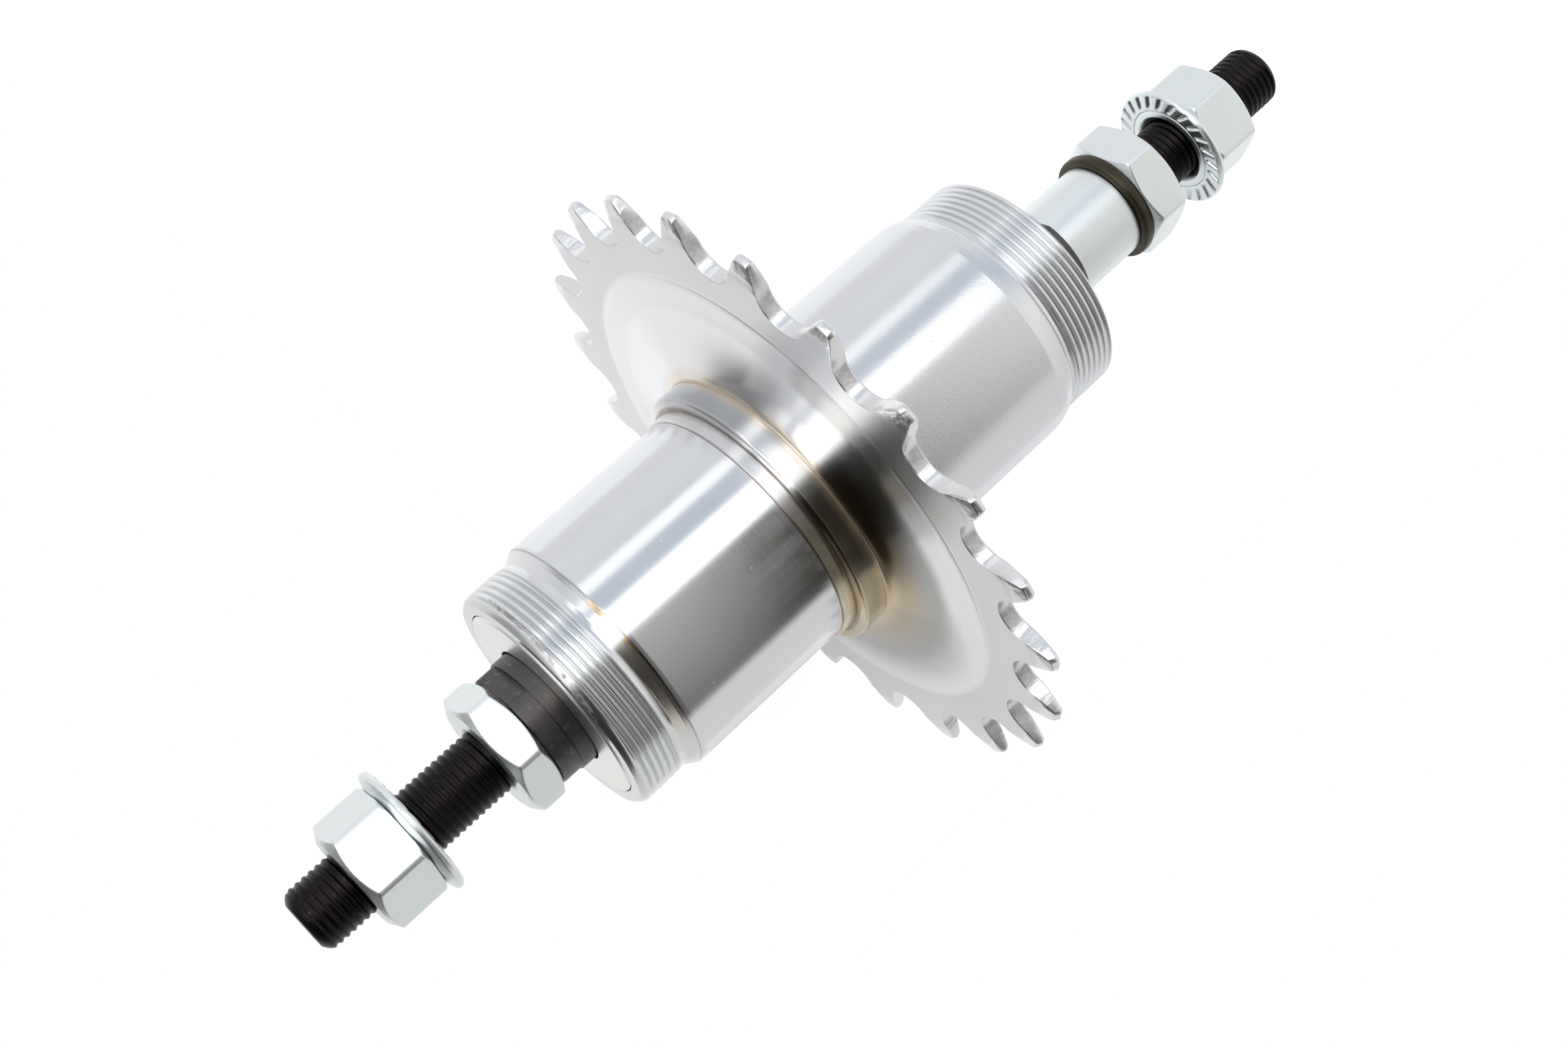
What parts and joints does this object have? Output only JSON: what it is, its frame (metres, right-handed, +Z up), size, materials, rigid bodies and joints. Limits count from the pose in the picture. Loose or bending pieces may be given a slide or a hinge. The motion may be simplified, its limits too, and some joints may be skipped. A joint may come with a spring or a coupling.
{
  "type": "tricycle drive hub",
  "caption": "Threaded steel hub shell with a fixed dished sprocket, turning on cup and cone bearings round a threaded axle with flanged axle nuts.",
  "frame": {"origin": "middle of the sprocket's teeth, on the axle's axis", "axes": "+Y along the axle towards the right-hand end, the one with the spacer sleeve; +Z up, +X completes the right-handed set"},
  "size_m": [0.0958, 0.1826, 0.0956],
  "materials": {
    "black_oxide": "black oxide, slightly oily",
    "plated_steel": "turned, then bright plated",
    "satin_steel": "pressed sheet, satin plated",
    "heat_tinted_steel": "straw tint from the weld",
    "hardened_steel": "ground race",
    "ball_steel": "polished",
    "retainer_steel": "pressed sheet",
    "pale_cap": "pressed sheet, matte plated",
    "zinc_plate": "clear blue zinc plate",
    "black_washer": "dark oxide"
  },
  "bodies": {
    "axle_set": {"axle": "black_oxide", "left_cone": "black_oxide", "right_cone": "black_oxide", "left_lock_nut": "zinc_plate", "right_lock_nut": "zinc_plate", "spacer_sleeve": "zinc_plate", "lock_washer": "black_washer"},
    "hub": {"hub_shell": "plated_steel", "sprocket": "satin_steel", "sprocket_stop_ring": "heat_tinted_steel", "left_bearing_cup": "hardened_steel", "right_bearing_cup": "hardened_steel", "left_dust_cap": "pale_cap", "right_dust_cap": "pale_cap"},
    "left_balls": {"left_bearing_balls": "ball_steel", "left_ball_retainer": "retainer_steel"},
    "right_balls": {"right_bearing_balls": "ball_steel", "right_ball_retainer": "retainer_steel"},
    "left_washer": {"left_nut_washer": "zinc_plate"},
    "left_nut": {"left_axle_nut": "zinc_plate"},
    "right_washer": {"right_nut_washer": "zinc_plate"},
    "right_nut": {"right_axle_nut": "zinc_plate"}
  },
  "joints": [
    {"name": "hub_spin", "type": "hinge", "parent": "axle_set", "child": "hub", "pos_m": [0, 0, 0], "axis": [0, 1, 0], "continuous": true},
    {"name": "left_ball_orbit", "type": "hinge", "parent": "axle_set", "child": "left_balls", "pos_m": [0, -0.0392, 0], "axis": [0, 1, 0], "continuous": true},
    {"name": "right_ball_orbit", "type": "hinge", "parent": "axle_set", "child": "right_balls", "pos_m": [0, 0.0398, 0], "axis": [0, 1, 0], "continuous": true},
    {"name": "left_washer_travel", "type": "slide", "parent": "axle_set", "child": "left_washer", "axis": [0, -1, 0], "range_m": [-0.0123, 0.0165]},
    {"name": "left_nut_turn", "type": "hinge", "parent": "left_washer", "child": "left_nut", "pos_m": [0, -0.0675, 0], "axis": [0, -1, 0], "range_deg": [-4185, 5614]},
    {"name": "right_washer_travel", "type": "slide", "parent": "axle_set", "child": "right_washer", "axis": [0, 1, 0], "range_m": [-0.0066, 0.0182]},
    {"name": "right_nut_turn", "type": "hinge", "parent": "right_washer", "child": "right_nut", "pos_m": [0, 0.0774, 0], "axis": [0, 1, 0], "range_deg": [-2245, 6192]}
  ],
  "couplings": [
    {"joint": "left_ball_orbit", "follows": "hub_spin", "ratio": 0.6049},
    {"joint": "right_ball_orbit", "follows": "hub_spin", "ratio": 0.6049},
    {"joint": "left_washer_travel", "follows": "left_nut_turn", "m_per_rad": 0.00016839},
    {"joint": "right_washer_travel", "follows": "right_nut_turn", "m_per_rad": 0.00016839}
  ]
}
